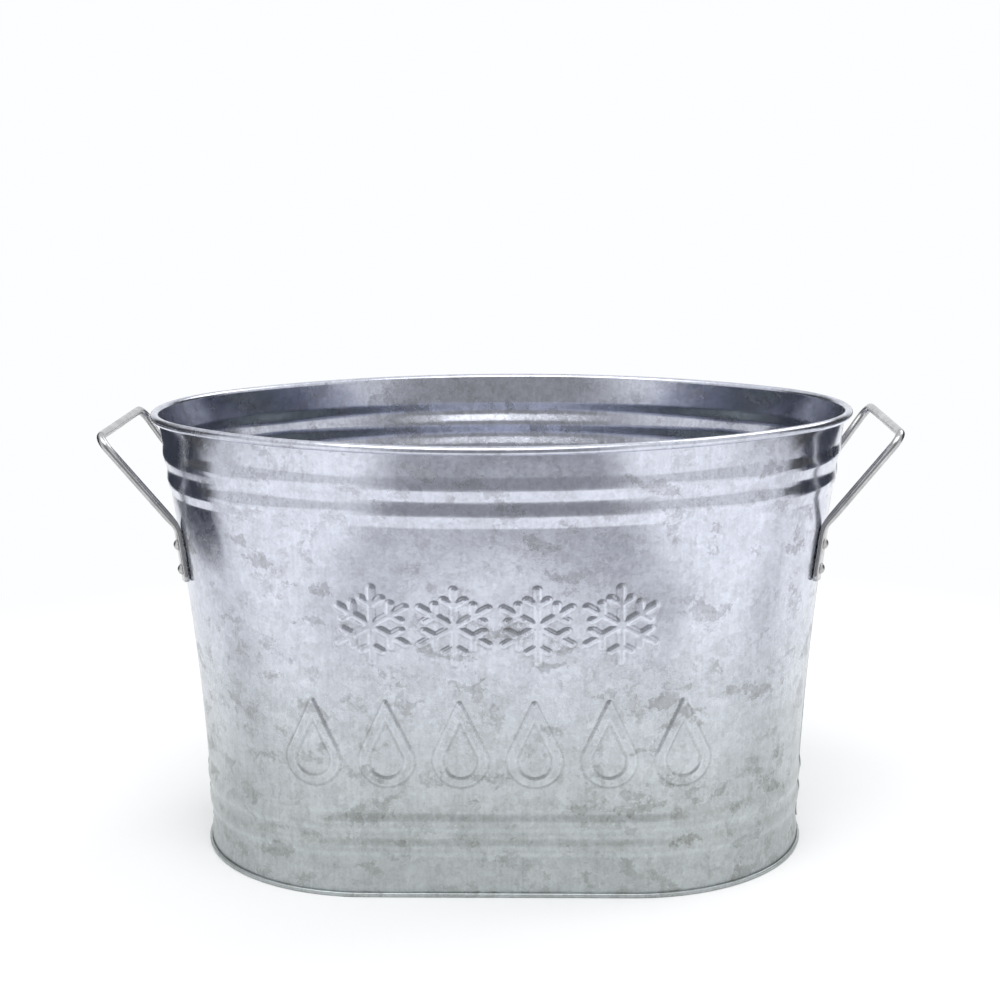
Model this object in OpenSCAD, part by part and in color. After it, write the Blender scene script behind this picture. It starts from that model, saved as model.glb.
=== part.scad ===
// Oval ice bucket in galvanized sheet steel, with two fixed rod handles.
// Origin: the centre of the footprint, on the ground. +Z is up, the long
// axis lies along X, and the embossed face looks towards -Y.

/* [Body] */
// Height to the top of the rolled rim
height = 250; // [235:1:265]
// Half of the length at the foot of the wall
base_half_length = 169; // [164:1:174]
// Half of the width at the foot of the wall
base_half_width = 98; // [94:1:101]
// Half of the length at the top of the wall
rim_half_length = 194; // [190:1:198]
// Half of the width at the top of the wall
rim_half_width = 132; // [129:1:134]
// Radius of the bowed front and back at the top of the wall
rim_front_radius = 236; // [232:1:250]
// Thickness of the sheet steel
sheet = 0.65; // [0.6:0.05:0.7]

/* [Beads and foot] */
// Centre height of the lowest bead
low_bead_height = 27; // [24:1:28]
// Centre height of the lower of the two top beads
high_bead_height = 212.5; // [200:0.5:214]
// Distance between the two beads of a pair
bead_pitch = 14; // [13:0.5:16]
// Width of a bead
bead_width = 12; // [10:0.5:13]
// How far a bead stands proud
bead_rise = 1.2; // [0.8:0.1:1.4]
// How far the foot of the wall turns out
foot_kick = 1; // [0.6:0.1:1.2]

/* [Rim and joints] */
// Radius of the wire in the rolled rim
wire_radius = 1.4; // [1.2:0.1:1.4]
// Room between the wire and the sheet rolled around it
wire_room = 0.3; // [0.3:0.05:0.4]
// Clearance where one sheet lies on another
joint_gap = 0.2; // [0.18:0.01:0.22]

/* [Embossing] */
// How far the ornaments stand proud of the wall
emboss_rise = 0.8; // [0.6:0.1:1]
// Centre height of the upper row
flake_row_height = 152; // [148:1:156]
// Radius of a snowflake
flake_radius = 22; // [18:1:23]
// Spacing of the four snowflakes
flake_pitch = 43; // [42:1:48]
// Centre height of the lower row
drop_row_height = 86; // [82:1:90]
// Full height of a drop
drop_height = 48; // [44:1:50]
// Spacing of the six drops
drop_pitch = 39; // [37:1:40]
// Width of a drop's raised line
line_width = 5; // [4:0.5:6]
// Width of a snowflake's raised arms
arm_width = 3.6; // [3:0.2:4.4]

/* [Handles] */
// Radius of the handle rod
rod_radius = 2.4; // [2.2:0.1:2.6]
// Distance of the grip from the middle of the bucket
grip_reach = 217; // [212:0.5:218]
// Height of the grip
grip_height = 241; // [236:1:244]
// Half of the grip's length
grip_half_length = 52; // [48:1:58]
// Angle between the long axis and each handle leg, seen from above
leg_angle = 22.5; // [20:0.5:25]
// Height of the lower end of a flattened foot
foot_low = 159; // [156:1:161]
// Height of the bend above a flattened foot
foot_high = 189; // [188:1:192]
// Half of a flattened foot's thickness
foot_half_thickness = 1.5; // [1.4:0.1:1.6]
// Half of a flattened foot's width
foot_half_width = 4.6; // [4.2:0.1:5]

/* [Rivets] */
// Heights of the two rivets of a leg above the lower end of its foot
rivet_rises = [6.5, 20.5];
// Radius of a rivet's shank
shank_radius = 1.6; // [1.4:0.1:1.8]
// Radius of a rivet's domed head
head_radius = 3.1; // [2.9:0.1:3.4]
// Height of a rivet's domed head
head_height = 2; // [1.8:0.1:2.2]

/* [Hidden] */

galvanized = [0.72, 0.74, 0.78];
plated = [0.80, 0.80, 0.82];
putty = [0.55, 0.55, 0.53];
solder = [0.62, 0.63, 0.66];

// Columns of a wall's surface: half of the bowed front, then one rounded end
front_steps = 9;
end_steps = 11;
last_column = front_steps + end_steps;

// Side seam, in degrees around the rounded end
step_start = 1;
step_end = 0.2;
edge_degrees = 0.06;
lap_degrees = 4;

// Section of the rolled rim
roll_radius = wire_radius + wire_room + sheet;
roll_height = height - roll_radius;
roll_offset = roll_radius - sheet;
roll_steps = 10;
roll_turn = 300;

// Section of the seamed foot
pan_floor = 4;
flange_height = sheet + joint_gap;
flange_reach = 1;
kick_start = 5;
kick_end = 15;
pan_round = base_half_width + foot_kick;
pan_straight = base_half_length - base_half_width;

// Depth of the ornaments below the wall's outer face, so that they fuse with it
emboss_root = 0.35;
// Where a snowflake's branches start and how long they are, as shares of its radius
branch_start = 0.52;
branch_length = 0.36;
// Heights between which the ornaments lie
emboss_low = 56;
emboss_high = 178;

// ---- The body's shape, as a function of height ----

// Share of the whole flare reached at height z: slight at the foot, more at the top
function flare(z) = let (t = max(0, z) / height) 0.25 * t + 0.75 * t * t;
function half_length(z) = base_half_length + (rim_half_length - base_half_length) * flare(z);
function half_width(z) = base_half_width + (rim_half_width - base_half_width) * flare(z);
// The front is straight at the foot and bowed at the rim
function front_radius(z) = rim_front_radius / pow(max(z / height, 0.01), 1.5);
// Radius of the rounded ends, which run smoothly into the bowed front
function end_radius(a, b, rf) = (2 * b - (a * a + b * b) / rf) / (2 * (1 - a / rf));

// Share of the lapped side seam at height z: whole along the wall, none in the rim and the foot
function lap_share(z) = z > kick_start && z < roll_height - roll_radius ? 1 : 0;

// Columns past the last plain one, where a lapped edge steps out over the other sheet,
// as [degrees before the seam, share of the step]
function lap_column(n, lap, share) = [
  [step_start, 0],
  [step_end, lap ? share : 0],
  [lap ? -lap_degrees * share + edge_degrees : edge_degrees, lap ? share : 0],
][n];

// Point of column i, on the outline of height z_body pushed out by d, raised to height z
function wall_point(z_body, z, d, i, lap) =
  let (
    side = i < 0 ? -1 : 1,
    n = abs(i),
    extra = n < last_column ? [0, 0] : lap_column(n - last_column, lap, lap_share(z)),
    grown = d + extra[1] * (joint_gap + sheet),
    a = half_length(z_body) + grown,
    b = half_width(z_body) + grown,
    rf = front_radius(z_body) + grown,
    re = end_radius(a, b, rf),
    turn = atan2(a - re, rf - b),
    s = n <= front_steps
      ? turn * n / front_steps
      : n < last_column
        ? turn + (90 - turn) * (n - front_steps) / end_steps
        : 90 - extra[0]
  )
  n <= front_steps
    ? [side * rf * sin(s), rf * (1 - cos(s)) - b, z]
    : [side * (a - re + re * sin(s)), -re * cos(s), z];

function smooth(t) = let (c = min(1, max(0, t))) c * c * (3 - 2 * c);
function bead(z, centre) =
  abs(z - centre) < bead_width / 2 ? bead_rise * (1 + cos(360 * (z - centre) / bead_width)) / 2 : 0;
bead_centres = [
  low_bead_height, low_bead_height + bead_pitch,
  high_bead_height, high_bead_height + bead_pitch,
];
function beads(z) = max([for (c = bead_centres) bead(z, c)]);
function kick(z) = foot_kick * (1 - smooth((z - kick_start) / (kick_end - kick_start)));
// How far the wall's outer face stands outside the plain outline
function outer_offset(z) = beads(z) + kick(z);

function bead_rows(centre) = [for (i = [-2:2]) centre + i * bead_width / 4];
plain_low = low_bead_height + bead_pitch + bead_width / 2;
plain_high = high_bead_height - bead_width / 2;
plain_steps = 7;
wall_rows = concat(
  [kick_start, 0.5 * (kick_start + kick_end), kick_end],
  bead_rows(bead_centres[0]),
  bead_rows(bead_centres[1]),
  [for (i = [1:plain_steps - 1]) plain_low + (plain_high - plain_low) * i / plain_steps],
  bead_rows(bead_centres[2]),
  bead_rows(bead_centres[3]),
  [0.5 * (roll_height + bead_centres[3] + bead_width / 2)]
);
roll_angles = [for (i = [0:roll_steps]) 180 - roll_turn * i / roll_steps];

// Rows of a wall's closed section, as [z_body, z, d]. From end_row on, each row has a partner
// on the sheet's other face, counted back from the last row.
function roll_row(angle, r) =
  [roll_height, roll_height + r * sin(angle), roll_offset + r * cos(angle)];
flange_rows = [
  [0, flange_height, foot_kick - sheet],
  [0, flange_height, foot_kick + flange_reach],
  [0, flange_height + sheet, foot_kick + flange_reach],
  [0, flange_height + sheet, foot_kick],
];
wall_section = concat(
  flange_rows,
  [for (z = wall_rows) [z, z, outer_offset(z)]],
  [for (angle = roll_angles) roll_row(angle, roll_radius - sheet)],
  [for (i = [roll_steps:-1:0]) roll_row(roll_angles[i], roll_radius)],
  [for (i = [len(wall_rows) - 1:-1:0]) let (z = wall_rows[i]) [z, z, outer_offset(z) - sheet]]
);

// Solid between columns -last and last. Its closed section starts with first_rows odd rows,
// and the rest are the two faces of a sheet.
module shell(section, last, first_rows, lap) {
  rows = len(section);
  columns = 2 * last + 1;
  points = [
    for (row = section)
      for (i = [-last:last])
        wall_point(row[0], row[1], row[2], i, lap)
  ];
  sides = [
    for (j = [0:rows - 1])
      for (i = [0:columns - 2])
        let (n = (j + 1) % rows)
        [j * columns + i, n * columns + i, n * columns + i + 1, j * columns + i + 1]
  ];
  pairs = (rows - first_rows) / 2;
  cap = concat(
    first_rows > 0 ? [[each [0:first_rows], rows - 1]] : [],
    [
      for (j = [0:pairs - 2])
        let (front = first_rows + j, back = rows - 1 - j)
        [front, front + 1, back - 1, back]
    ]
  );
  first_cap = [for (face = cap) [for (k = [len(face) - 1:-1:0]) face[k] * columns]];
  last_cap = [for (face = cap) [for (j = face) j * columns + columns - 1]];
  polyhedron(points, concat(sides, first_cap, last_cap), convexity = 10);
}

// Half of the body, on the side of -Y, with its edges lapped or plain
module half_body(lap) {
  shell(wall_section, last_column + 2, len(flange_rows), lap);
}

// ---- Walls ----

module front_wall() {
  color(galvanized)
    difference() {
      union() {
        half_body(false);
        emboss();
      }
      rivet_holes(-1);
      mirror([1, 0, 0]) rivet_holes(-1);
    }
}

module back_wall() {
  color(galvanized)
    difference() {
      mirror([0, 1, 0]) half_body(true);
      rivet_holes(1);
      mirror([1, 0, 0]) rivet_holes(1);
    }
}

// ---- Ornaments ----

module snowflake() {
  for (k = [0:2])
    rotate(30 + 60 * k)
      square([2 * flake_radius, arm_width], center = true);
  for (k = [0:5])
    rotate(30 + 60 * k)
      translate([branch_start * flake_radius, 0])
        for (side = [-60, 60])
          rotate(side)
            translate([0, -arm_width / 2])
              square([branch_length * flake_radius, arm_width]);
}

// Outline of a drop: a round foot with straight flanks up to the tip
module drop_outline(inset) {
  r = 0.3 * drop_height - inset;
  top = 0.7 * drop_height - 2.2 * inset;
  lean = asin(r / top);
  circle(r, $fn = 24);
  polygon([[r * cos(lean), r * sin(lean)], [0, top], [-r * cos(lean), r * sin(lean)]]);
}

module drop() {
  translate([0, -0.2 * drop_height])
    difference() {
      drop_outline(0);
      drop_outline(line_width);
    }
}

// Both rows of ornaments, pressed through a layer that follows the wall
module emboss() {
  steps = 4;
  layer_rows = [for (i = [0:steps]) emboss_low + (emboss_high - emboss_low) * i / steps];
  layer = concat(
    [for (z = layer_rows) [z, z, emboss_rise]],
    [for (i = [steps:-1:0]) [layer_rows[i], layer_rows[i], -emboss_root]]
  );
  intersection() {
    shell(layer, last_column - 4, 0, false);
    rotate([90, 0, 0])
      linear_extrude(rim_half_width + 20) {
        for (i = [0:3])
          translate([(i - 1.5) * flake_pitch, flake_row_height])
            snowflake();
        for (i = [0:5])
          translate([(i - 2.5) * drop_pitch, drop_row_height])
            drop();
      }
  }
}

// ---- Base ----

// Sweep of a flat section, drawn with x outward from the pan's rounded outline
module pan_sweep() {
  for (side = [0, 180])
    rotate([0, 0, side]) {
      translate([pan_straight, 0, 0])
        rotate([0, 0, -90])
          rotate_extrude(angle = 180, $fn = 180)
            translate([pan_round, 0])
              children();
      translate([pan_straight, 0, 0])
        rotate([90, 0, -90])
          linear_extrude(2 * pan_straight)
            translate([pan_round, 0])
              children();
    }
}

module pan_section() {
  skirt = -sheet - joint_gap - 0.05;
  hook = flange_reach + joint_gap / 2;
  lip = flange_height + sheet + joint_gap;
  polygon([
    [skirt - sheet, 0],
    [hook + sheet, 0],
    [hook + sheet, lip + sheet],
    [joint_gap + 0.05, lip + sheet],
    [joint_gap + 0.05, lip],
    [hook, lip],
    [hook, sheet],
    [skirt, sheet],
    [skirt, pan_floor + sheet],
    [skirt - 2 * sheet, pan_floor + sheet],
    [skirt - 2 * sheet, pan_floor],
    [skirt - sheet, pan_floor],
  ]);
}

module base_pan() {
  floor_round = pan_round - 2.5 * sheet - joint_gap;
  color(galvanized) {
    pan_sweep() pan_section();
    translate([0, 0, pan_floor])
      linear_extrude(sheet) {
        square([2 * pan_straight, 2 * floor_round], center = true);
        for (side = [-1, 1])
          translate([side * pan_straight, 0])
            circle(floor_round, $fn = 180);
      }
  }
}

// Bead of sealant in the corner between the floor and the wall
module base_sealant() {
  leg = 4.5;
  corner = -sheet - joint_gap - 0.3;
  low = pan_floor + sheet + 0.02;
  color(putty)
    pan_sweep()
      polygon([
        [corner - leg, low],
        [corner, low],
        [corner - foot_kick * 0.5, low + leg],
        [corner - foot_kick - 0.35 * leg, low + 0.35 * leg],
      ]);
}

// Line of solder inside each lapped side seam
module side_seam_solder() {
  wide = 4;
  proud = 0.6;
  rows = [for (z = wall_rows) if (z > kick_end) z];
  inner = -sheet - 0.05;
  outline = concat(
    [for (z = rows) [half_length(z) + outer_offset(z) + inner, z]],
    [for (i = [len(rows) - 1:-1:0]) [half_length(rows[i]) + outer_offset(rows[i]) + inner - proud, rows[i]]]
  );
  color(solder)
    for (side = [0, 1])
      mirror([side, 0, 0])
        translate([0, wide / 2, 0])
          rotate([90, 0, 0])
            linear_extrude(wide)
              polygon(outline);
}

// ---- Rim wire ----

module wire_arc(centre, radius, from, sweep) {
  translate([centre[0], centre[1], roll_height])
    rotate([0, 0, from])
      rotate_extrude(angle = sweep, $fn = 180)
        translate([radius, 0])
          circle(wire_radius, $fn = 32);
}

module rim_wire() {
  a = half_length(roll_height) + roll_offset;
  b = half_width(roll_height) + roll_offset;
  rf = front_radius(roll_height) + roll_offset;
  re = end_radius(a, b, rf);
  turn = atan2(a - re, rf - b);
  color(plated)
    for (side = [0, 180])
      rotate([0, 0, side]) {
        wire_arc([0, rf - b], rf, -90 - turn, 2 * turn);
        wire_arc([a - re, 0], re, turn - 90, 180 - 2 * turn);
      }
}

// ---- Handles ----

// Point on the rounded end at +X where the wall faces leg_angle, on side -1 or 1 of Y
function leg_point(z, d, side) =
  let (
    a = half_length(z) + d,
    b = half_width(z) + d,
    re = end_radius(a, b, front_radius(z) + d)
  )
  [a - re + re * cos(leg_angle), side * re * sin(leg_angle), z];

foot_offset = joint_gap + foot_half_thickness;
function foot_start(side) = leg_point(foot_low, foot_offset, side);
function foot_end(side) = leg_point(foot_high, foot_offset, side);
function unit(v) = v / norm(v);
// Direction in which a leg faces, level and square to the wall
function facing(side) = [cos(leg_angle), side * sin(leg_angle), 0];
function square_to(v, t) = unit(v - (v * t) * t);

handle_corners = [
  foot_start(-1), foot_end(-1),
  [grip_reach, -grip_half_length, grip_height],
  [grip_reach, grip_half_length, grip_height],
  foot_end(1), foot_start(1),
];
bend_radii = [0, 14, 7, 7, 14, 0];
bend_steps = 6;

// Points of the round bend at corner v, between corners p and q
function bend(p, v, q, radius) =
  let (
    to_p = unit(p - v),
    to_q = unit(q - v),
    half = acos(to_p * to_q) / 2,
    reach = radius / tan(half),
    centre = v + unit(to_p + to_q) * radius / sin(half),
    from = v + to_p * reach - centre,
    to = v + to_q * reach - centre,
    whole = 180 - 2 * half
  )
  [
    for (i = [0:bend_steps])
      let (s = whole * i / bend_steps)
      centre + (sin(whole - s) * from + sin(s) * to) / sin(whole)
  ];

function between(p, q, steps) = [for (i = [0:steps - 1]) p + (q - p) * i / steps];
foot_steps = 4;
handle_path = concat(
  between(handle_corners[0], handle_corners[1] - unit(handle_corners[1] - handle_corners[0]) * 6, foot_steps),
  [
    for (k = [1:4])
      each bend(handle_corners[k - 1], handle_corners[k], handle_corners[k + 1], bend_radii[k])
  ],
  [
    for (i = [foot_steps - 1:-1:0])
      let (path = between(handle_corners[5], handle_corners[4]
        - unit(handle_corners[4] - handle_corners[5]) * 6, foot_steps))
      path[i]
  ]
);

// How flat the rod is at height z: 1 along the foot, 0 above the bend
function flatness(z) = 1 - smooth((z - foot_high + 6) / 14);
function signed_pow(v, e) = sign(v) * pow(abs(v), e);
rod_sides = 16;

// Ring of points around the path's point i
function rod_ring(i) =
  let (
    last = len(handle_path) - 1,
    p = handle_path[i],
    t = unit(handle_path[min(i + 1, last)] - handle_path[max(i - 1, 0)]),
    out = square_to(facing(min(1, max(-1, p[1] / foot_end(1)[1]))), t),
    across = cross(t, out),
    flat = flatness(p[2]),
    thick = rod_radius + (foot_half_thickness - rod_radius) * flat,
    wide = rod_radius + (foot_half_width - rod_radius) * flat,
    boxy = 1 - 0.55 * flat
  )
  [
    for (k = [0:rod_sides - 1])
      let (s = 360 * k / rod_sides)
      p + out * thick * signed_pow(cos(s), boxy) + across * wide * signed_pow(sin(s), boxy)
  ];

module handle_rod() {
  stations = len(handle_path);
  points = [for (i = [0:stations - 1]) each rod_ring(i)];
  sides = [
    for (i = [0:stations - 2])
      for (k = [0:rod_sides - 1])
        let (n = (k + 1) % rod_sides)
        [i * rod_sides + k, (i + 1) * rod_sides + k, (i + 1) * rod_sides + n, i * rod_sides + n]
  ];
  first_cap = [for (k = [0:rod_sides - 1]) k];
  last_cap = [for (k = [rod_sides - 1:-1:0]) (stations - 1) * rod_sides + k];
  polyhedron(points, concat(sides, [first_cap, last_cap]), convexity = 10);
}

// Handle on the side of +X
module handle() {
  color(plated)
    difference() {
      handle_rod();
      rivet_holes(-1);
      rivet_holes(1);
    }
}

module right_handle() {
  handle();
}

module left_handle() {
  mirror([1, 0, 0]) handle();
}

// ---- Rivets ----

// Places its children at each rivet of the leg on that side, with +X along the rivet, out of the wall
module at_rivets(side) {
  start = foot_start(side);
  along = unit(foot_end(side) - start);
  out = square_to(facing(side), along);
  for (rise = rivet_rises)
    translate(start + along * rise)
      rotate([0, -asin(out[2]), atan2(out[1], out[0])])
        children();
}

module rivet_holes(side) {
  at_rivets(side)
    rotate([0, 90, 0])
      cylinder(h = 16, r = shank_radius + 0.05, center = true, $fn = 48);
}

module dome(radius, rise) {
  ball = (radius * radius + rise * rise) / (2 * rise);
  intersection() {
    translate([0, 0, rise - ball]) sphere(ball, $fn = 64);
    cylinder(h = rise + 1, r = radius + 1, $fn = 64);
  }
}

module rivet() {
  inside = foot_offset + sheet + 0.25;
  tail = 1;
  rotate([0, 90, 0]) {
    translate([0, 0, foot_half_thickness + 0.02]) dome(head_radius, head_height);
    translate([0, 0, -inside - tail / 2])
      cylinder(h = inside + foot_half_thickness + tail, r = shank_radius, $fn = 48);
    translate([0, 0, -inside])
      mirror([0, 0, 1])
        dome(head_radius - 0.4, tail);
  }
}

module handle_rivets() {
  color(plated)
    for (side = [-1, 1])
      at_rivets(side) rivet();
}

module right_handle_rivets() {
  handle_rivets();
}

module left_handle_rivets() {
  mirror([1, 0, 0]) handle_rivets();
}

front_wall();
back_wall();
base_pan();
rim_wire();
left_handle();
right_handle();
left_handle_rivets();
right_handle_rivets();
base_sealant();
side_seam_solder();
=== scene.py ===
import math

import bmesh
import bpy
import numpy as np
from mathutils import Matrix, Vector


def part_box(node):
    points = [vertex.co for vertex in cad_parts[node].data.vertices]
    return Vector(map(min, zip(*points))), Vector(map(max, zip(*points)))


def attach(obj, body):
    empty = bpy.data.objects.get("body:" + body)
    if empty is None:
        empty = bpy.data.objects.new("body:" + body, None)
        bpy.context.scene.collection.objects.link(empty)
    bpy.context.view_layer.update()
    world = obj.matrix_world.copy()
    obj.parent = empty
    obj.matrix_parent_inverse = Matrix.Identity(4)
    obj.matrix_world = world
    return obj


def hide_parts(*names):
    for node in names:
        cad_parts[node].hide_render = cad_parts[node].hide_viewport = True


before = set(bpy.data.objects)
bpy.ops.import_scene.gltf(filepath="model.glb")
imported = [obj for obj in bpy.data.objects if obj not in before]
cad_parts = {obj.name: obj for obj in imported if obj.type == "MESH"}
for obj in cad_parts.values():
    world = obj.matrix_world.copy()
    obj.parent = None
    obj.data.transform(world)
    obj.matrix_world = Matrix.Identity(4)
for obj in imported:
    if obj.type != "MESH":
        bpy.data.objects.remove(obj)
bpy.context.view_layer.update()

# ---- Dimensions, in metres. The overall sizes are read from the frame. ----

MM = 0.001
SHEET = 0.65 * MM
JOINT_GAP = 0.2 * MM
WIRE_RADIUS = 1.4 * MM
ROLL_RADIUS = WIRE_RADIUS + 0.3 * MM + SHEET
ROLL_OFFSET = ROLL_RADIUS - SHEET
ROLL_TURN = math.radians(300)
FOOT_KICK = 1.0 * MM
KICK_START, KICK_END = 5 * MM, 15 * MM
FLANGE_REACH = 1.0 * MM
FLANGE_HEIGHT = SHEET + JOINT_GAP
FLANGE_BEND = 0.25 * MM
HOOK_REACH = FLANGE_REACH + JOINT_GAP / 2

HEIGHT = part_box("front_wall")[1].z
ROLL_HEIGHT = HEIGHT - ROLL_RADIUS

pan_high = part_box("base_pan")[1]
BASE_HALF_LENGTH = pan_high.x - FOOT_KICK - HOOK_REACH - SHEET
BASE_HALF_WIDTH = pan_high.y - FOOT_KICK - HOOK_REACH - SHEET

# Share of the flare that grows evenly with height. The rest grows with its square.
EVEN_FLARE = 0.25


def flare(z):
    """Share of the whole flare reached at height z."""
    t = np.maximum(z, 0) / HEIGHT
    return EVEN_FLARE * t + (1 - EVEN_FLARE) * t * t


wire_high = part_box("rim_wire")[1]
RIM_HALF_LENGTH = BASE_HALF_LENGTH + (
    wire_high.x - WIRE_RADIUS - ROLL_OFFSET - BASE_HALF_LENGTH) / flare(ROLL_HEIGHT)
RIM_HALF_WIDTH = BASE_HALF_WIDTH + (
    wire_high.y - WIRE_RADIUS - ROLL_OFFSET - BASE_HALF_WIDTH) / flare(ROLL_HEIGHT)
RIM_FRONT_RADIUS = 236 * MM
BOW_POWER = 1.5


# ---- Shape of the body ----

def smooth(t):
    """Smooth step from 0 to 1 as t goes from 0 to 1."""
    t = np.clip(t, 0, 1)
    return t * t * (3 - 2 * t)


def half_length(z):
    return BASE_HALF_LENGTH + (RIM_HALF_LENGTH - BASE_HALF_LENGTH) * flare(z)


def half_width(z):
    return BASE_HALF_WIDTH + (RIM_HALF_WIDTH - BASE_HALF_WIDTH) * flare(z)


def front_radius(z):
    """The front is nearly straight at the foot and bowed at the rim."""
    return RIM_FRONT_RADIUS / np.maximum(z / HEIGHT, 0.01) ** BOW_POWER


def end_radius(a, b, rf):
    """Radius of the rounded ends, which run smoothly into the bowed front."""
    return (2 * b - (a * a + b * b) / rf) / (2 * (1 - a / rf))


def wall_xy(z, d, share):
    """Point of the outline at height z, pushed out by d.

    share runs from -1 to 1 along the half at -Y.
    """
    a = half_length(z) + d
    b = half_width(z) + d
    rf = front_radius(z) + d
    re = end_radius(a, b, rf)
    turn = np.arctan2(a - re, rf - b)
    on_front = rf * turn
    reach = np.abs(share) * (on_front + re * (math.pi / 2 - turn))
    s = np.where(reach <= on_front, reach / rf, turn + (reach - on_front) / re)
    x = np.where(reach <= on_front, rf * np.sin(s), a - re + re * np.sin(s))
    y = np.where(reach <= on_front, rf * (1 - np.cos(s)) - b, -re * np.cos(s))
    return np.sign(share) * x, y


def kick(z):
    """Outward step of the wall at its foot."""
    return FOOT_KICK * (1 - smooth((z - KICK_START) / (KICK_END - KICK_START)))


LOW_BEADS = (27 * MM, 41 * MM)
HIGH_BEADS = (212.5 * MM, 226.5 * MM)
BEAD_WIDTH = 12 * MM
BEAD_RISE = 1.0 * MM
BEAD_SLOPE = 5 * MM
BEAD_ROUNDING = 0.08
# Painted shade and highlight on the foot's beads: their offset from a bead's middle, their width and
# their strengths.
BEAD_SHADING_OFFSET = 3.5 * MM
BEAD_SHADING_WIDTH = 2 * MM
BEAD_PAINTED_SHADE, BEAD_PAINTED_HIGHLIGHT = 0.5, 1.1
DENT_DEPTH = 0.12 * MM


def beads(z):
    """Beads with straight slopes and a narrow crest, their corners slightly rounded."""
    total = np.zeros_like(z)
    for centre in LOW_BEADS + HIGH_BEADS:
        t = (BEAD_WIDTH / 2 - np.abs(z - centre)) / BEAD_SLOPE
        total = total + (np.hypot(t, BEAD_ROUNDING) - np.hypot(t - 1, BEAD_ROUNDING) + 1) / 2
    return BEAD_RISE * total


def painted_bead_shading(z):
    """Painted highlight on the lower slopes of the foot's beads and painted shade on their upper
    slopes.
    """
    total = np.zeros_like(z)
    for centre in LOW_BEADS:
        total += BEAD_PAINTED_SHADE * np.exp(-((z - centre - BEAD_SHADING_OFFSET) / BEAD_SHADING_WIDTH) ** 2)
        total -= BEAD_PAINTED_HIGHLIGHT * np.exp(-((z - centre + BEAD_SHADING_OFFSET) / BEAD_SHADING_WIDTH) ** 2)
    return total


def dents(x, y, z):
    """Slow unevenness of thin sheet, in crossed waves about 70 to 170 mm long."""
    return DENT_DEPTH * (
        np.sin(41 * x + 23 * z + 1.3) * np.sin(37 * z - 19 * y + 0.4)
        + 0.6 * np.sin(83 * x - 61 * z + 2.1) * np.sin(71 * z + 47 * y + 0.9))


# ---- Ornaments, as distances to lines in the plane of the front ----

FLAKE_COUNT = 4
FLAKE_ROW = 152 * MM
FLAKE_RADIUS = 22 * MM
FLAKE_PITCH = 43 * MM
FLAKE_ARMS = 6
ARM_WIDTH = 3.6 * MM
BRANCH_START, BRANCH_LENGTH = 0.52, 0.36
DROP_COUNT = 6
DROP_ROW = 86 * MM
DROP_HEIGHT = 48 * MM
DROP_PITCH = 39 * MM
DROP_LINE = 5 * MM
DROP_TIP = 0.8 * MM
EMBOSS_RISE = 0.65 * MM
SHOULDER = 1.5 * MM
# Painted shade at the foot and painted highlight on the shoulder of the raised lines.
CREASE_WIDTH = 0.35 * MM
CREASE_PAINTED_HIGHLIGHT = 0.8
FAR = 1.0


def to_segment(x, z, x0, z0, x1, z1):
    """Distance to the line from (x0, z0) to (x1, z1)."""
    dx, dz = x1 - x0, z1 - z0
    t = np.clip(((x - x0) * dx + (z - z0) * dz) / (dx * dx + dz * dz), 0, 1)
    return np.hypot(x - x0 - t * dx, z - z0 - t * dz)


def snowflake(x, z):
    """Distance to a six-armed flake round the origin, negative inside its lines."""
    best = np.full_like(x, FAR)
    tip = FLAKE_RADIUS - ARM_WIDTH / 2
    start = BRANCH_START * FLAKE_RADIUS
    length = BRANCH_LENGTH * FLAKE_RADIUS - ARM_WIDTH / 2
    for k in range(FLAKE_ARMS):
        angle = 2 * math.pi * (k + 0.5) / FLAKE_ARMS
        c, s = math.cos(angle), math.sin(angle)
        best = np.minimum(best, to_segment(x, z, 0, 0, tip * c, tip * s))
        for side in (-1, 1):
            turn = angle + side * math.pi / 3
            end_x = start * c + length * math.cos(turn)
            end_z = start * s + length * math.sin(turn)
            best = np.minimum(best, to_segment(x, z, start * c, start * s, end_x, end_z))
    return best - ARM_WIDTH / 2


def drop(x, z):
    """Distance to the line of a drop round the origin, negative inside the line."""
    round_radius = 0.3 * DROP_HEIGHT
    h = DROP_HEIGHT - round_radius - DROP_TIP
    px, pz = np.abs(x), z + 0.2 * DROP_HEIGHT
    b = (round_radius - DROP_TIP) / h
    a = math.sqrt(1 - b * b)
    k = -b * px + a * pz
    low = np.hypot(px, pz) - round_radius
    high = np.hypot(px, pz - h) - DROP_TIP
    flank = px * a + pz * b - round_radius
    whole = np.where(k < 0, low, np.where(k > a * h, high, flank))
    return np.abs(whole + DROP_LINE / 2) - DROP_LINE / 2


def to_ornament(x, z):
    """Distance to the nearest raised line at a place on the front, negative on it."""
    best = np.full_like(x, FAR)
    for shape, count, pitch, row in (
            (snowflake, FLAKE_COUNT, FLAKE_PITCH, FLAKE_ROW),
            (drop, DROP_COUNT, DROP_PITCH, DROP_ROW)):
        for i in range(count):
            best = np.minimum(best, shape(x - (i - (count - 1) / 2) * pitch, z - row))
    return best


def raised(distance):
    """Share of the embossing's rise at a distance from a raised line."""
    return 1 - smooth(distance / SHOULDER + 0.5)


def painted_edge_shading(distance):
    """Painted shade along the foot of a raised line, less a painted highlight along its shoulder."""
    painted_shade = np.exp(-((distance - 0.5 * SHOULDER) / CREASE_WIDTH) ** 2)
    painted_highlight = np.exp(-((distance + 0.5 * SHOULDER) / CREASE_WIDTH) ** 2)
    return painted_shade - CREASE_PAINTED_HIGHLIGHT * painted_highlight


# ---- Meshes ----

def spaced(*spans):
    """Values over joined spans, each (start, end, step)."""
    values = []
    for start, end, step in spans:
        count = max(1, round(abs(end - start) / step))
        values.extend(start + (end - start) * i / count for i in range(count))
    return np.array(values + [spans[-1][1]])


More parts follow.
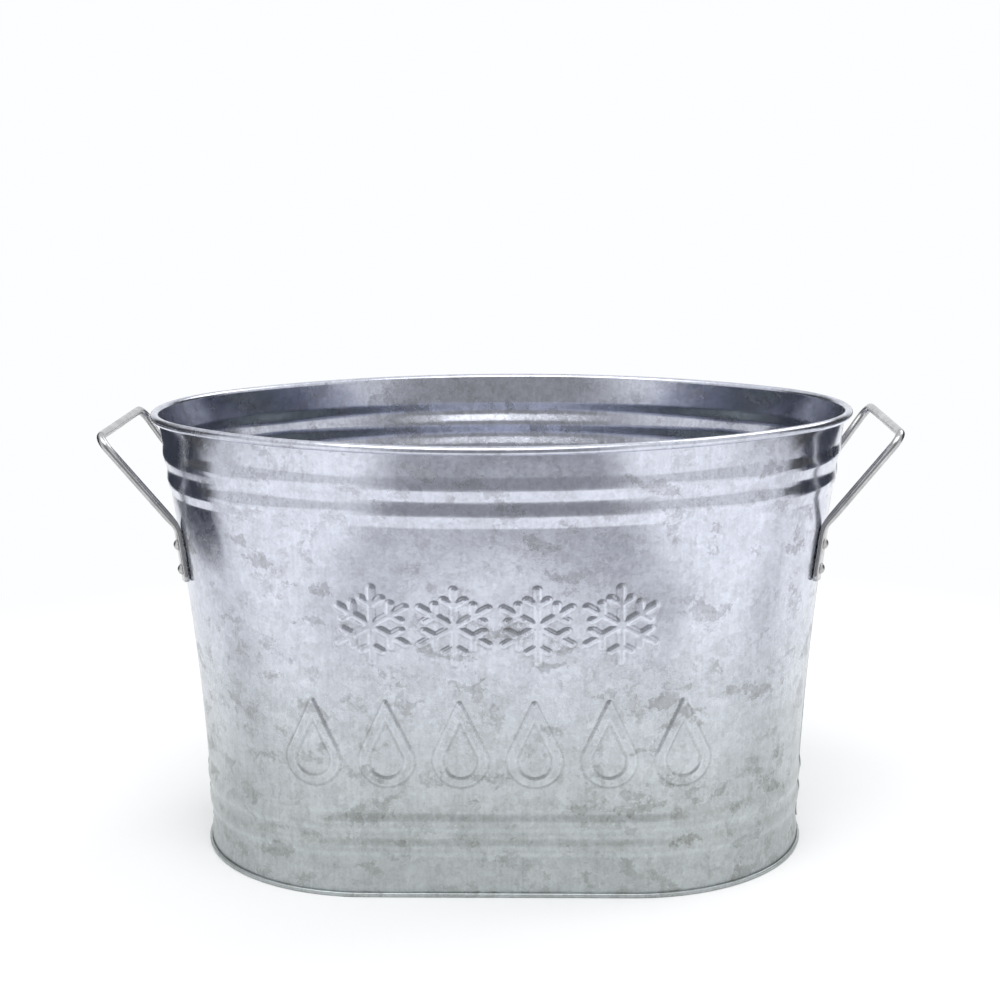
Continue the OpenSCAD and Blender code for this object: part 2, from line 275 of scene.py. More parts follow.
def mesh_object(name, points, faces, material, weld=0.0):
    """Smooth-shaded piece. Points closer together than weld become one."""
    mesh = bpy.data.meshes.new(name)
    mesh.from_pydata(np.asarray(points).reshape(-1, 3).tolist(), [], faces)
    work = bmesh.new()
    work.from_mesh(mesh)
    if weld:
        bmesh.ops.remove_doubles(work, verts=work.verts, dist=weld)
    bmesh.ops.recalc_face_normals(work, faces=work.faces)
    work.to_mesh(mesh)
    work.free()
    mesh.polygons.foreach_set("use_smooth", [True] * len(mesh.polygons))
    mesh.materials.append(material)
    mesh.update()
    piece = bpy.data.objects.new(name, mesh)
    bpy.context.scene.collection.objects.link(piece)
    return piece


def place_piece(piece, node_name):
    """Makes a piece stand for a CAD node."""
    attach(piece, "root")
    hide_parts(node_name)


def grid_faces(rows, columns, start=0, flip=False):
    """Faces of a grid of points that is open on all four sides."""
    faces = []
    for j in range(rows - 1):
        for i in range(columns - 1):
            a = start + j * columns + i
            face = (a, a + 1, a + columns + 1, a + columns)
            faces.append(face[::-1] if flip else face)
    return faces


def tube_faces(rows, columns, closed=False):
    """Faces between rings of points. Closed also joins the last ring to the first."""
    faces = []
    for j in range(rows if closed else rows - 1):
        here, there = j * columns, (j + 1) % rows * columns
        for i in range(columns):
            n = (i + 1) % columns
            faces.append((here + i, here + n, there + n, there + i))
    return faces


def sheet_solid(name, outer, inner, material):
    """Closed solid between two grids of points with the same rows and columns."""
    rows, columns = outer.shape[:2]
    base = rows * columns
    faces = grid_faces(rows, columns) + grid_faces(rows, columns, base, flip=True)
    for i in range(columns - 1):
        top = (rows - 1) * columns
        faces.append((i, base + i, base + i + 1, i + 1))
        faces.append((top + i, top + i + 1, base + top + i + 1, base + top + i))
    for j in range(rows - 1):
        a, b = j * columns, (j + 1) * columns
        faces.append((a, b, base + b, base + a))
        a, b = a + columns - 1, b + columns - 1
        faces.append((a, base + a, base + b, b))
    points = np.concatenate([outer.reshape(-1, 3), inner.reshape(-1, 3)])
    return mesh_object(name, points, faces, material)


# ---- Materials ----

def new_tree(name):
    material = bpy.data.materials.new(name)
    material.use_nodes = True
    return material, material.node_tree


def node(tree, kind, inputs=None, **settings):
    """Adds a node. An input is a value or the output that feeds it."""
    made = tree.nodes.new("ShaderNode" + kind)
    for key, value in settings.items():
        setattr(made, key, value)
    for key, value in (inputs or {}).items():
        if isinstance(value, bpy.types.NodeSocket):
            tree.links.new(value, made.inputs[key])
        else:
            made.inputs[key].default_value = value
    return made


def maths(tree, operation, first, second=0.0, third=0.0):
    made = node(tree, "Math", {0: first, 1: second, 2: third}, operation=operation)
    return made.outputs[0]


def noise(tree, place, scale, detail=2.0, roughness=0.5):
    made = node(tree, "TexNoise", {
        "Vector": place, "Scale": scale, "Detail": detail, "Roughness": roughness})
    return made.outputs


def cells(tree, place, scale):
    """Two even random values for each grain of a pattern."""
    grains = node(tree, "TexVoronoi", {"Vector": place, "Scale": scale})
    parts = node(tree, "SeparateColor", {0: grains.outputs["Color"]})
    return parts.outputs[0], parts.outputs[1]


def shifted(tree, place, by, amount):
    """place moved by a noise colour, up to half of amount each way."""
    centred = node(tree, "VectorMath", {0: by, 1: (0.5, 0.5, 0.5)}, operation="SUBTRACT")
    made = node(tree, "VectorMath", {
        0: centred.outputs[0], 1: (amount, amount, amount), 2: place}, operation="MULTIPLY_ADD")
    return made.outputs[0]


def turned(tree, place, turn, stretch):
    made = node(tree, "Mapping", {"Vector": place, "Rotation": turn, "Scale": stretch})
    return made.outputs[0]


def step_between(tree, value, low, high, to_low=0.0, to_high=1.0):
    made = node(tree, "MapRange", {
        "Value": value, "From Min": low, "From Max": high, "To Min": to_low, "To Max": to_high},
        interpolation_type="SMOOTHSTEP")
    return made.outputs[0]


def ramp(tree, value, *stops):
    """Colour that runs through stops, each (position, colour)."""
    made = node(tree, "ValToRGB", {0: value})
    elements = made.color_ramp.elements
    while len(elements) < len(stops):
        elements.new(0.5)
    for element, (position, colour) in zip(elements, stops):
        element.position = position
        element.color = (*colour, 1)
    return made.outputs[0]


def mixed(tree, share, first, second, blend="MIX"):
    made = node(tree, "Mix", {0: share, 6: first, 7: second}, data_type="RGBA", blend_type=blend)
    return made.outputs[2]


def dark_flakes(tree, place):
    """Sparse feathery grains that catch less light, about 5 to 14 mm long."""
    shade = 0.0
    for turn, stretch, scale, rare, depth in (
            ((0.2, 0.9, 0.3), (1.0, 1.0, 2.6), 66, 0.945, 1.0),
            ((0.8, -0.7, 0.4), (1.0, 1.0, 2.2), 92, 0.95, 0.8),
            ((-0.5, 0.4, 1.2), (1.6, 1.0, 1.0), 150, 0.94, 0.6)):
        grain = cells(tree, turned(tree, place, turn, stretch), scale)[0]
        layer = step_between(tree, grain, rare, rare + 0.01, 0.0, depth)
        shade = maths(tree, "MAXIMUM", layer, shade)
    return shade


def galvanized(name):
    """Hot-dipped zinc: clouds, fine crystals and a few dark flakes, duller towards the foot, where a
    darker tint is partly painted shade.
    """
    material, tree = new_tree(name)
    place = node(tree, "TexCoord").outputs["Object"]
    high = node(tree, "SeparateXYZ", {0: place}).outputs[2]
    rise = step_between(tree, high, 0.02, 0.8 * HEIGHT)

    # Patterns: ragged grains of two sizes, clouds, speckle, upright drawing marks and dark flakes
    torn = shifted(tree, place, noise(tree, place, 70, 6, 0.7)["Color"], 0.030)
    feathered = shifted(tree, torn, noise(tree, place, 380, 3, 0.7)["Color"], 0.006)
    ruffled = shifted(tree, place, noise(tree, place, 300, 2)["Color"], 0.004)
    coarse, coarse_turn = cells(tree, feathered, 95)
    fine, fine_turn = cells(tree, ruffled, 330)
    clouds = noise(tree, torn, 30, 5, 0.65)["Fac"]
    speckle = noise(tree, place, 720, 4, 0.75)["Fac"]
    drawn = noise(tree, turned(tree, place, (0, 0, 0), (1, 1, 0.03)), 600, 2)["Fac"]
    flakes = dark_flakes(tree, feathered)
    # Painted shade and highlight from the walls' beads and raised lines
    painted_relief_shading = node(tree, "Attribute", attribute_name="painted_relief_shading").outputs["Fac"]

    # Colour: each pattern moves the tone both ways from the middle, flakes darken it, painted shade
    # darkens it and painted highlight lightens it
    tone = 0.5
    for pattern, gain in ((coarse, 0.09), (fine, 0.11), (clouds, 0.26), (speckle, 0.40), (drawn, 0.16)):
        tone = maths(tree, "MULTIPLY_ADD", pattern, gain, maths(tree, "SUBTRACT", tone, gain / 2))
    tone = maths(tree, "MULTIPLY_ADD", flakes, -0.15, tone)
    tone = maths(tree, "MULTIPLY_ADD", painted_relief_shading, -0.13, tone)
    zinc = ramp(tree, tone, (0.10, (0.28, 0.275, 0.265)), (0.5, (0.60, 0.615, 0.655)),
                (0.85, (0.86, 0.88, 0.94)))
    # Tint: greener towards the foot, which is the zinc's colour, and darker there, which is painted
    # shade for the shadowed floor the foot reflects.
    tint = ramp(tree, rise, (0.0, (0.80, 0.835, 0.79)), (1.0, (1.0, 1.01, 1.08)))

    # Finish: shinier towards the rim, with a slight relief of the grains
    rough = maths(tree, "MULTIPLY_ADD", coarse_turn, 0.06, 0.30)
    rough = maths(tree, "MULTIPLY_ADD", fine_turn, 0.05, rough)
    rough = maths(tree, "MULTIPLY_ADD", rise, -0.17, rough)
    rough = maths(tree, "MULTIPLY_ADD", flakes, 0.10, rough)
    relief = maths(tree, "MULTIPLY_ADD", coarse_turn, 0.5, fine)
    bump = node(tree, "Bump", {"Height": relief, "Strength": 0.08, "Distance": 0.0004})

    bsdf = tree.nodes["Principled BSDF"]
    tree.links.new(mixed(tree, 1.0, zinc, tint, "MULTIPLY"), bsdf.inputs["Base Color"])
    tree.links.new(rough, bsdf.inputs["Roughness"])
    tree.links.new(bump.outputs[0], bsdf.inputs["Normal"])
    tree.links.new(step_between(tree, high, 0.02, 0.16, 0.80, 0.98), bsdf.inputs["Metallic"])
    return material


def worked_metal(name, dark, light, low_rough, high_rough, scale, metallic=1.0, lumps=0.0):
    """Plated or cast metal, or paste, with slow stains and fine grain. lumps makes it uneven."""
    material, tree = new_tree(name)
    place = node(tree, "TexCoord").outputs["Object"]
    stains = noise(tree, place, scale, 4, 0.6)["Fac"]
    grain = noise(tree, place, scale * 12, 2, 0.6)["Fac"]
    tone = maths(tree, "MULTIPLY_ADD", grain, 0.35, maths(tree, "MULTIPLY", stains, 0.75))
    uneven = maths(tree, "MULTIPLY_ADD", stains, 3.0, grain) if lumps else grain
    bump = node(tree, "Bump", {"Height": uneven, "Strength": lumps or 0.12, "Distance": 0.0003})
    bsdf = tree.nodes["Principled BSDF"]
    tree.links.new(ramp(tree, tone, (0.35, dark), (0.75, light)), bsdf.inputs["Base Color"])
    tree.links.new(step_between(tree, tone, 0.3, 0.8, high_rough, low_rough), bsdf.inputs["Roughness"])
    tree.links.new(bump.outputs[0], bsdf.inputs["Normal"])
    bsdf.inputs["Metallic"].default_value = metallic
    return material


GALVANIZED = galvanized("galvanized_sheet")
PLATED = worked_metal("plated_rod", (0.36, 0.36, 0.36), (0.60, 0.60, 0.61), 0.16, 0.30, 90)
RIVET = worked_metal("rivet_steel", (0.34, 0.33, 0.33), (0.68, 0.67, 0.68), 0.24, 0.42, 260)
SEALANT = worked_metal("sealant", (0.42, 0.42, 0.40), (0.56, 0.56, 0.54), 0.45, 0.75, 150,
                       metallic=0.0, lumps=0.9)
SOLDER = worked_metal("solder", (0.42, 0.43, 0.45), (0.66, 0.67, 0.70), 0.28, 0.50, 160, lumps=0.6)


# ---- Walls ----

FRONT_EDGE = 0.9995
LAP_START, LAP_RAMP = 0.9925, 0.006
LAP_SHARE = 0.028
LAP_FOOT = 7 * MM
LAP_TOP = ROLL_HEIGHT - 6 * MM
LAP_FADE = 3 * MM
ROLL_STEPS = 25


def wall_rows(fine):
    """Heights of the rows between the flange and the roll, denser over beads and ornaments."""
    foot = FLANGE_HEIGHT + SHEET + 0.6 * MM
    low_start, low_end = LOW_BEADS[0] - 7 * MM, LOW_BEADS[1] + 7 * MM
    high_start, high_end = HIGH_BEADS[0] - 7.5 * MM, HIGH_BEADS[1] + 7.5 * MM
    drops = DROP_ROW - DROP_HEIGHT / 2 - 4 * MM
    flakes = FLAKE_ROW + FLAKE_RADIUS + 4 * MM
    return spaced(
        (foot, low_start, 1.5 * MM),
        (low_start, low_end, 0.7 * MM),
        (low_end, drops, 2.5 * MM),
        (drops, flakes, 0.6 * MM if fine else 4 * MM),
        (flakes, high_start, 3 * MM),
        (high_start, high_end, 0.6 * MM),
        (high_end, ROLL_HEIGHT - 0.5 * MM, 2.5 * MM))


def wall_shares(fine, lap):
    """Places of the columns along the half outline, denser over the ornaments and at the edges."""
    near = spaced((0, 0.5, 0.0026 if fine else 0.011), (0.5, 0.985, 0.009))
    ends = np.array([0.989, LAP_START, 0.996, 0.9985])
    edge = 1 + LAP_SHARE * np.linspace(0, 1, 4) if lap else np.array([FRONT_EDGE])
    half = np.concatenate([near[1:], ends, edge])
    return np.concatenate([-half[::-1], [0.0], half])


def wall_section(fine):
    """Columns of heights and offsets from the flange up to the end of the roll.

    They are the height on the body, then height and offset of the outer and of the inner face.
    """
    low, high = FLANGE_HEIGHT, FLANGE_HEIGHT + SHEET
    reach = FOOT_KICK + FLANGE_REACH
    rows = [
        (0, high, reach, low, reach),
        (0, high, FOOT_KICK + FLANGE_BEND, low, FOOT_KICK - FLANGE_BEND),
        (0, high + FLANGE_BEND, FOOT_KICK, low + FLANGE_BEND, FOOT_KICK - SHEET),
    ]
    heights = wall_rows(fine)
    for z, d in zip(heights, beads(heights) + kick(heights)):
        rows.append((z, z, d, z, d - SHEET))
    for angle in math.pi - ROLL_TURN * np.linspace(0, 1, ROLL_STEPS):
        c, s = math.cos(angle), math.sin(angle)
        rows.append((ROLL_HEIGHT, ROLL_HEIGHT + ROLL_OFFSET * s, ROLL_OFFSET + ROLL_OFFSET * c,
                     ROLL_HEIGHT + ROLL_RADIUS * s, ROLL_OFFSET + ROLL_RADIUS * c))
    return [np.array(values)[:, None] for values in zip(*rows)]


def dent_share(x, z):
    """Dents fade out towards the foot, the rim and the stiff ends."""
    along = smooth((z - 12 * MM) / (20 * MM)) * smooth((ROLL_HEIGHT - z) / (25 * MM))
    return along * (1 - 0.7 * smooth((np.abs(x) - 120 * MM) / (30 * MM)))


def lapped(share, body):
    """Outward step of the back sheet over the front sheet, and where its columns end.

    Near the foot and the rim the step fades out and the columns draw back to the front's edge.
    """
    kept = smooth((body - LAP_FOOT) / LAP_FADE) * smooth((LAP_TOP - body) / LAP_FADE)
    step = kept * smooth((np.abs(share) - LAP_START) / LAP_RAMP) * (SHEET + JOINT_GAP)
    past = (np.abs(share) - FRONT_EDGE) * (0.01 + 0.99 * kept)
    drawn = np.where(past > 0, np.sign(share) * (FRONT_EDGE + past), share)
    return step, drawn


def wall_grids(fine, lap, front):
    """Outer face, inner face and painted shade and highlight of one half of the body."""
    body, z_out, d_out, z_in, d_in = wall_section(fine)
    share = wall_shares(fine, lap)[None, :] + 0 * body
    x0, y0 = wall_xy(body, 0 * body, share)
    bulge = dent_share(x0, body) * dents(x0, y0 if front else -y0, body)
    # Painted shade and highlight on the beads, and on the raised lines at the front.
    painted_relief_shading = painted_bead_shading(body) + 0 * share
    if front:
        distance = to_ornament(x0, body)
        bulge += EMBOSS_RISE * raised(distance)
        painted_relief_shading += painted_edge_shading(distance)
    if lap:
        step, share = lapped(share, body)
        bulge += step
    grids = []
    for z, d in ((z_out, d_out), (z_in, d_in)):
        x, y = wall_xy(body, d + bulge, share)
        grids.append(np.stack([x, y if front else -y, z + 0 * x], axis=2))
    return grids + [painted_relief_shading]


def build_wall(name, node_name, fine, lap, front):
    outer, inner, painted_relief_shading = wall_grids(fine, lap, front)
    if not front:
        outer, inner, painted_relief_shading = outer[:, ::-1], inner[:, ::-1], painted_relief_shading[:, ::-1]
    piece = sheet_solid(name, outer, inner, GALVANIZED)
    # Painted shade and highlight kept on the points of the outer face for the material.
    shading_layer = piece.data.attributes.new("painted_relief_shading", "FLOAT", "POINT")
    shading_layer.data.foreach_set("value", np.concatenate([painted_relief_shading.ravel(), 0 * painted_relief_shading.ravel()]))
    place_piece(piece, node_name)


# ---- Pan and wire ----

SWEEP_COUNT = 170
WELD = 0.03 * MM
CORNER_RADIUS = 0.8 * MM
CORNER_STEPS = 4
WIRE_SIDES = 24
PAN_FLOOR = 4 * MM
PAN_PLAY = JOINT_GAP + 0.05 * MM
RING_INSET = 22 * MM
RING_DEPTH = 1.6 * MM
RING_OUTER, RING_INNER, RING_EDGE = 3 * MM, 5 * MM, 8 * MM


def loop_xy(z, d):
    """Points round the whole outline at height z, pushed out by d."""
    share = np.linspace(-1, 1, SWEEP_COUNT, endpoint=False)
    x, y = wall_xy(np.full(SWEEP_COUNT, float(z)), np.full(SWEEP_COUNT, float(d)), share)
    return np.concatenate([x, -x]), np.concatenate([y, -y])


def sweep_round(name, section, body, closed, material):
    """Solid of a section of (height, offset) points swept round the outline at height body.

    An open section starts and ends on the long axis, where the two sides of the sweep meet.
    """
    points = []
    for z, d in section:
        x, y = loop_xy(body, d)
        points.append(np.stack([x, y, np.full_like(x, z)], axis=1))
    faces = tube_faces(len(section), 2 * SWEEP_COUNT, closed)
    return mesh_object(name, np.array(points), faces, material, weld=WELD)


def rounded(before, corner, after):
    """Points of a round bend at a corner, which takes up less than half of each side."""
    p, q, r = np.array(before), np.array(corner), np.array(after)
    to_p, to_r = (p - q) / np.hypot(*(p - q)), (r - q) / np.hypot(*(r - q))
    reach = min(CORNER_RADIUS, 0.45 * np.hypot(*(p - q)), 0.45 * np.hypot(*(r - q)))
    start, end = q + reach * to_p, q + reach * to_r
    return [(1 - t) ** 2 * start + 2 * t * (1 - t) * q + t * t * end
            for t in np.linspace(0, 1, CORNER_STEPS)]


def pressed_floor(ring, z):
    """Points of one face of the pan's floor, from the middle outwards over the pressed ring."""
    low = z - RING_DEPTH
    return [(ring - RING_EDGE, z), (ring - RING_INNER, low), (ring, low), (ring + RING_OUTER, z)]


def build_pan():
    """Floor, skirt and the rolled seam that grips the wall's flange."""
    skirt = FOOT_KICK - SHEET - PAN_PLAY
    hook = FOOT_KICK + HOOK_REACH
    lip = FLANGE_HEIGHT + SHEET + JOINT_GAP
    over = FOOT_KICK + PAN_PLAY
    centre = -BASE_HALF_WIDTH
    ring = skirt - RING_INSET
    corners = [(centre, PAN_FLOOR)] + pressed_floor(ring, PAN_FLOOR) + [
        (skirt - SHEET, PAN_FLOOR), (skirt - SHEET, 0),
        (hook + SHEET, 0), (hook + SHEET, lip + SHEET),
        (over, lip + SHEET), (over, lip),
        (hook, lip), (hook, SHEET),
        (skirt, SHEET), (skirt, PAN_FLOOR + SHEET),
    ] + pressed_floor(ring, PAN_FLOOR + SHEET)[::-1] + [(centre, PAN_FLOOR + SHEET)]
    section = [corners[0]]
    for before, corner, after in zip(corners, corners[1:], corners[2:]):
        section += rounded(before, corner, after)
    section.append(corners[-1])
    piece = sweep_round("base_pan_shell", [(z, d) for d, z in section], 0, False, GALVANIZED)
    place_piece(piece, "base_pan")


def build_wire():
    """Closed ring of wire inside the rolled rim."""
    turns = np.linspace(0, 2 * math.pi, WIRE_SIDES, endpoint=False)
    section = [(ROLL_HEIGHT + WIRE_RADIUS * math.sin(t), ROLL_OFFSET + WIRE_RADIUS * math.cos(t))
               for t in turns]
    piece = sweep_round("rim_wire_ring", section, ROLL_HEIGHT, True, PLATED)
    place_piece(piece, "rim_wire")


# ---- Handles ----

ROD_RADIUS = 2.4 * MM
ROD_SIDES = 36
ROD_STEP = 3 * MM
FOOT_HALF_THICKNESS = 1.5 * MM
FOOT_HALF_WIDTH = 4.6 * MM
FOOT_SQUARENESS = 0.55
FLAT_RAMP_START = -6 * MM
FLAT_RAMP = 14 * MM
LEG_ANGLE = math.radians(22.5)
FOOT_BEND_HEIGHT = 189 * MM
GRIP_HALF_LENGTH = 52 * MM
BEND_RADII = (14 * MM, 7 * MM, 7 * MM, 14 * MM)
BEND_STEPS = 14
END_EDGE = 0.35 * MM
END_SHARE = 0.82


def leg_point(z, side):
    """Middle of a flattened foot at height z. side is -1 for the leg at -Y and 1 at +Y."""
    d = JOINT_GAP + FOOT_HALF_THICKNESS
    a = half_length(z) + d
    b = half_width(z) + d
    re = end_radius(a, b, front_radius(z) + d)
    return np.array([a - re + re * math.cos(LEG_ANGLE), side * re * math.sin(LEG_ANGLE), z])


def unit(v):
    return v / np.linalg.norm(v)


def bend(p, v, q, radius):
    """Points of the round bend at corner v, between corners p and q."""
    to_p, to_q = unit(p - v), unit(q - v)
    half = math.acos(np.dot(to_p, to_q)) / 2
    reach = radius / math.tan(half)
    centre = v + unit(to_p + to_q) * radius / math.sin(half)
    start, end = v + to_p * reach - centre, v + to_q * reach - centre
    whole = math.pi - 2 * half
    return [centre + (math.sin(whole - s) * start + math.sin(s) * end) / math.sin(whole)
            for s in np.linspace(0, whole, BEND_STEPS)]


def handle_path(far, low, high):
    """Points along the rod, from the foot at -Y over the grip to the foot at +Y."""
    reach, height = far - ROD_RADIUS, high - ROD_RADIUS
    corners = [
        leg_point(low, -1), leg_point(FOOT_BEND_HEIGHT, -1),
        np.array([reach, -GRIP_HALF_LENGTH, height]), np.array([reach, GRIP_HALF_LENGTH, height]),
        leg_point(FOOT_BEND_HEIGHT, 1), leg_point(low, 1),
    ]
    runs = [bend(*corners[k:k + 3], radius) for k, radius in enumerate(BEND_RADII)]
    path = []
    last = corners[0]
    for run in runs + [[corners[-1]]]:
        steps = max(2, int(np.linalg.norm(run[0] - last) / ROD_STEP))
        path += [last + (run[0] - last) * t for t in np.linspace(0, 1, steps, endpoint=False)]
        path += run[:-1]
        last = run[-1]
    return path + [corners[-1]]


def rod_ring(path, i, across_y):
    """Offsets of the points round the rod at a place on its path: round, or flattened at a foot."""
    p = path[i]
    t = unit(path[min(i + 1, len(path) - 1)] - path[max(i - 1, 0)])
    side = min(1, max(-1, p[1] / across_y))
    facing = np.array([math.cos(LEG_ANGLE), side * math.sin(LEG_ANGLE), 0])
    out = unit(facing - np.dot(facing, t) * t)
    across = np.cross(t, out)
    flat = 1 - smooth((p[2] - FOOT_BEND_HEIGHT - FLAT_RAMP_START) / FLAT_RAMP)
    thick = ROD_RADIUS + (FOOT_HALF_THICKNESS - ROD_RADIUS) * flat
    wide = ROD_RADIUS + (FOOT_HALF_WIDTH - ROD_RADIUS) * flat
    power = 1 - FOOT_SQUARENESS * flat
    s = np.linspace(0, 2 * math.pi, ROD_SIDES, endpoint=False)
    c, n = np.cos(s), np.sin(s)
    return (np.outer(thick * np.sign(c) * np.abs(c) ** power, out)
            + np.outer(wide * np.sign(n) * np.abs(n) ** power, across))


def eased_end(path, i, inward, across_y):
    """The last two rings at an end of the rod: a smaller one on the end and a full one behind it."""
    offsets = rod_ring(path, i, across_y)
    return [path[i] + offsets * END_SHARE, path[i] + offsets + inward * END_EDGE]


def build_handle(name, node_name, mirror):
    """Rod handle. It is built at +X, and mirror -1 puts it at -X."""
    low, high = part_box(node_name)
    path = handle_path(max(high.x, -low.x), low.z, high.z)
    across_y = leg_point(FOOT_BEND_HEIGHT, 1)[1]
    last = len(path) - 1
    rings = eased_end(path, 0, unit(path[1] - path[0]), across_y)
    rings += [path[i] + rod_ring(path, i, across_y) for i in range(1, last)]
    rings += eased_end(path, last, unit(path[-2] - path[-1]), across_y)[::-1]
    points = np.array(rings) * np.array([mirror, 1, 1])
    top = (len(rings) - 1) * ROD_SIDES
    faces = [tuple(range(ROD_SIDES)), tuple(range(top, top + ROD_SIDES))]
    faces += tube_faces(len(rings), ROD_SIDES)
    piece = mesh_object(name, points, faces, PLATED)
    place_piece(piece, node_name)


def dress_nodes():
    """Gives the CAD nodes that stay in view their materials."""
    finishes = {
        "left_handle_rivets": RIVET, "right_handle_rivets": RIVET,
        "base_sealant": SEALANT, "side_seam_solder": SOLDER,
    }
    for name, material in finishes.items():
        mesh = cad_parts[name].data
        mesh.materials.clear()
        mesh.materials.append(material)
        mesh.polygons.foreach_set("use_smooth", [True] * len(mesh.polygons))


# ---- Stage ----

WHITE = (0.98, 0.99, 1.0, 1)
PALE = (0.94, 0.94, 0.94, 1)
SLATE = (0.035, 0.040, 0.055, 1)
FLOOR_REACH = 6.0
FADE_START, FADE_END = 0.35, 0.70
LEFT_CARD = (-0.63, -0.06)
RIGHT_CARD = (0.80, 0.05)
CARD_EDGE = 0.03
AHEAD_CARD = 0.40
# Edge of the band of painted shade on the floor close in front of the bucket, seen only in reflections
CLOSE_SHADE_EDGE = -0.17
SOFT_EDGE = 0.04
AHEAD_SHADE, CLOSE_SHADE = 0.72, 0.20
AHEAD_SPREAD = (0.45, 0.80)


def beyond(tree, value, edge, soft=CARD_EDGE):
    return step_between(tree, value, edge - soft, edge + soft)


def reflected_cards(tree, x, y):
    """Share of the floor covered by the dark cards on each side, the grey one ahead and a band of
    painted shade close in front of the bucket.
    """
    west = maths(tree, "MULTIPLY", x, -1.0)
    away = maths(tree, "MULTIPLY", y, -1.0)
    spread = maths(tree, "DIVIDE", maths(tree, "ABSOLUTE", x), maths(tree, "MAXIMUM", away, 0.01))
    left = maths(tree, "MULTIPLY", beyond(tree, west, -LEFT_CARD[0]), beyond(tree, y, LEFT_CARD[1]))
    right = maths(tree, "MULTIPLY", beyond(tree, x, RIGHT_CARD[0]), beyond(tree, y, RIGHT_CARD[1]))
    ahead = maths(tree, "MULTIPLY", beyond(tree, away, AHEAD_CARD, SOFT_EDGE),
                  step_between(tree, spread, *AHEAD_SPREAD, AHEAD_SHADE, 0.0))
    # Painted shade on the floor close in front of the bucket
    painted_close_shade = maths(tree, "MULTIPLY", beyond(tree, y, CLOSE_SHADE_EDGE, SOFT_EDGE), beyond(tree, away, 0.0))
    painted_close_shade = maths(tree, "MULTIPLY", painted_close_shade, CLOSE_SHADE)
    sides = maths(tree, "MAXIMUM", left, right)
    return maths(tree, "MAXIMUM", sides, maths(tree, "MAXIMUM", ahead, painted_close_shade))


def floor_material():
    """Pale and dull, with cards and a band of painted shade that only reflections see, and white for
    the camera farther out.
    """
    material, tree = new_tree("floor")
    place = node(tree, "NewGeometry").outputs["Position"]
    parts = node(tree, "SeparateXYZ", {0: place}).outputs
    ray = node(tree, "LightPath").outputs
    cards = maths(tree, "MULTIPLY", ray["Is Glossy Ray"], reflected_cards(tree, parts[0], parts[1]))
    bsdf = tree.nodes["Principled BSDF"]
    tree.links.new(mixed(tree, cards, PALE, SLATE), bsdf.inputs["Base Color"])
    bsdf.inputs["Roughness"].default_value = 0.9
    bsdf.inputs["Specular IOR Level"].default_value = 0.0
    radius = node(tree, "VectorMath", {0: place}, operation="LENGTH").outputs["Value"]
    far = step_between(tree, radius, FADE_START, FADE_END)
    fade = maths(tree, "MULTIPLY", ray["Is Camera Ray"], far)
    white = node(tree, "Emission", {"Color": WHITE, "Strength": 1.0}).outputs[0]
    faded = node(tree, "MixShader", {0: fade, 1: bsdf.outputs[0], 2: white}).outputs[0]
    tree.links.new(faded, tree.nodes["Material Output"].inputs["Surface"])
    return material


def build_floor():
    mesh = bpy.data.meshes.new("floor")
    corners = [(x * FLOOR_REACH, y * FLOOR_REACH, 0) for x, y in ((-1, -1), (1, -1), (1, 1), (-1, 1))]
    mesh.from_pydata(corners, [], [(0, 1, 2, 3)])
    mesh.materials.append(floor_material())
    floor = bpy.data.objects.new("floor", mesh)
    bpy.context.scene.collection.objects.link(floor)


def build_world():
    """White behind the object, and a dim room with a bright ceiling in its reflections."""
    world = bpy.data.worlds.new("studio")
    bpy.context.scene.world = world
    world.use_nodes = True
    tree = world.node_tree
    way = node(tree, "TexCoord").outputs["Generated"]
    x, y, z = node(tree, "SeparateXYZ", {0: way}).outputs
    aside = maths(tree, "ABSOLUTE", x)
    ceiling = step_between(tree, z, 0.30, 0.75)
    front_sides = maths(tree, "MULTIPLY", step_between(tree, aside, 0.36, 0.60, 0.36, 0.85),
                        step_between(tree, y, -0.14, -0.04, 1.0, 0.0))
    behind = step_between(tree, y, 0.72, 0.92, 0.06, 1.0)
    room = maths(tree, "MAXIMUM", maths(tree, "MAXIMUM", ceiling, behind), front_sides)
    seen = node(tree, "LightPath").outputs["Is Camera Ray"]
    background = tree.nodes["Background"]
    tree.links.new(maths(tree, "MAXIMUM", seen, room), background.inputs["Strength"])
    background.inputs["Color"].default_value = WHITE


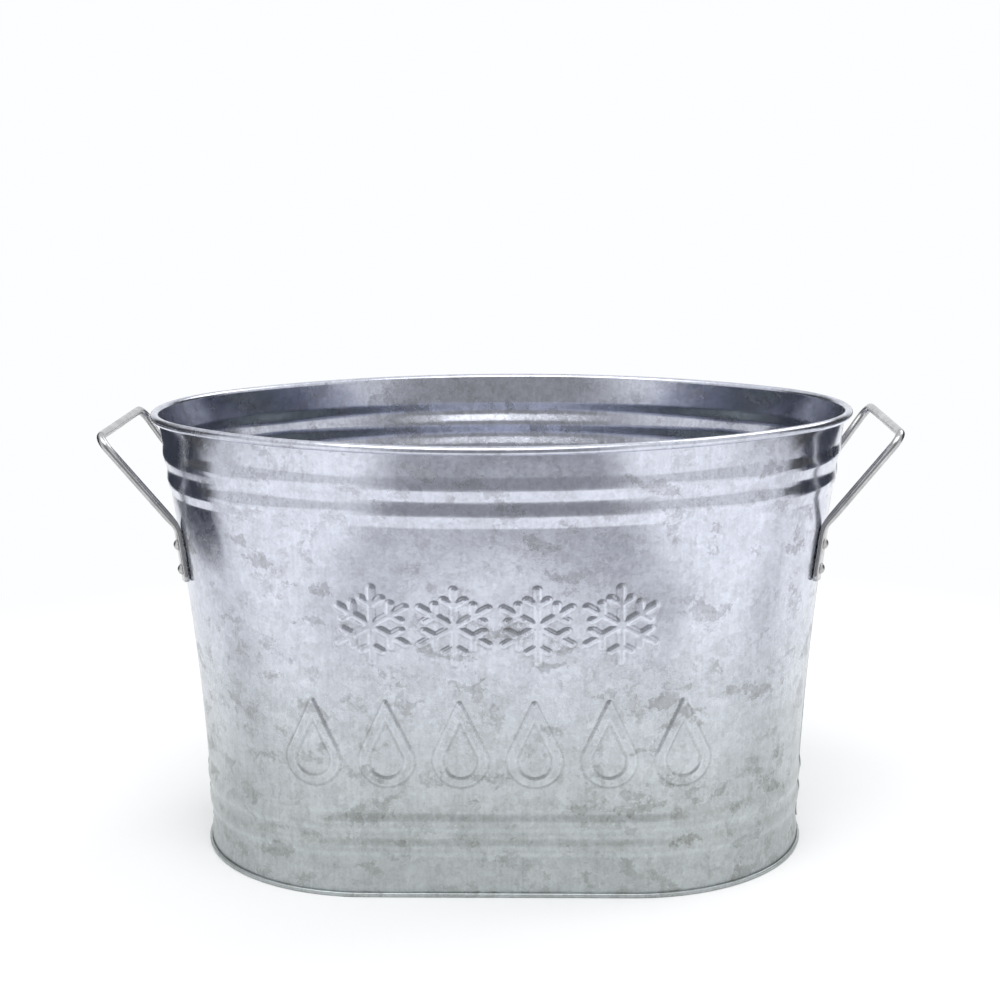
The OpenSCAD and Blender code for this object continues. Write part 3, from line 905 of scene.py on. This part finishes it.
def area_light(name, place, target, size, power):
    data = bpy.data.lights.new(name, "AREA")
    data.shape = "RECTANGLE"
    data.size, data.size_y = size
    data.energy = power
    light = bpy.data.objects.new(name, data)
    light.location = place
    light.rotation_euler = (Vector(target) - Vector(place)).to_track_quat("-Z", "Y").to_euler()
    bpy.context.scene.collection.objects.link(light)


def build_lights():
    area_light("key", (-0.3, -1.0, 2.0), (0, -0.2, 0.0), (2.2, 1.6), 22)
    area_light("fill", (1.2, 0.8, 1.7), (0, 0.1, 0.0), (1.4, 1.2), 10)


# ---- Camera ----

CAMERA_DISTANCE = 1.0069
CAMERA_HEIGHT = 0.4052
CAMERA_TURN = math.radians(1.705)
CAMERA_PITCH = math.radians(8.815)
CAMERA_ROLL = math.radians(0.495)
CAMERA_SENSOR = 36
CAMERA_LENS = 64.71
CAMERA_SHIFT = (-0.0004, -0.0929)
CAMERA_CLIP = (0.01, 50)


def build_camera():
    """Camera in front of the bucket, looking slightly down, turned and rolled by a little."""
    data = bpy.data.cameras.new("camera")
    data.sensor_width = CAMERA_SENSOR
    data.lens = CAMERA_LENS
    data.shift_x, data.shift_y = CAMERA_SHIFT
    data.clip_start, data.clip_end = CAMERA_CLIP
    turn = Matrix.Rotation(CAMERA_TURN, 3, "Z")
    right = Vector((1, 0, 0))
    forward = Vector((0, math.cos(CAMERA_PITCH), -math.sin(CAMERA_PITCH)))
    up = right.cross(forward)
    c, s = math.cos(CAMERA_ROLL), math.sin(CAMERA_ROLL)
    axes = turn @ Matrix((right * c - up * s, right * s + up * c, -forward)).transposed()
    place = turn @ Vector((0, -CAMERA_DISTANCE, CAMERA_HEIGHT))
    camera = bpy.data.objects.new("camera", data)
    camera.matrix_world = Matrix.Translation(place) @ axes.to_4x4()
    bpy.context.scene.collection.objects.link(camera)
    bpy.context.scene.camera = camera


build_wall("front_sheet", "front_wall", fine=True, lap=False, front=True)
build_wall("back_sheet", "back_wall", fine=False, lap=True, front=False)
build_pan()
build_wire()
build_handle("left_grip", "left_handle", -1)
build_handle("right_grip", "right_handle", 1)
dress_nodes()
build_floor()
build_world()
build_lights()
build_camera()
bpy.context.scene.view_settings.view_transform = "Standard"
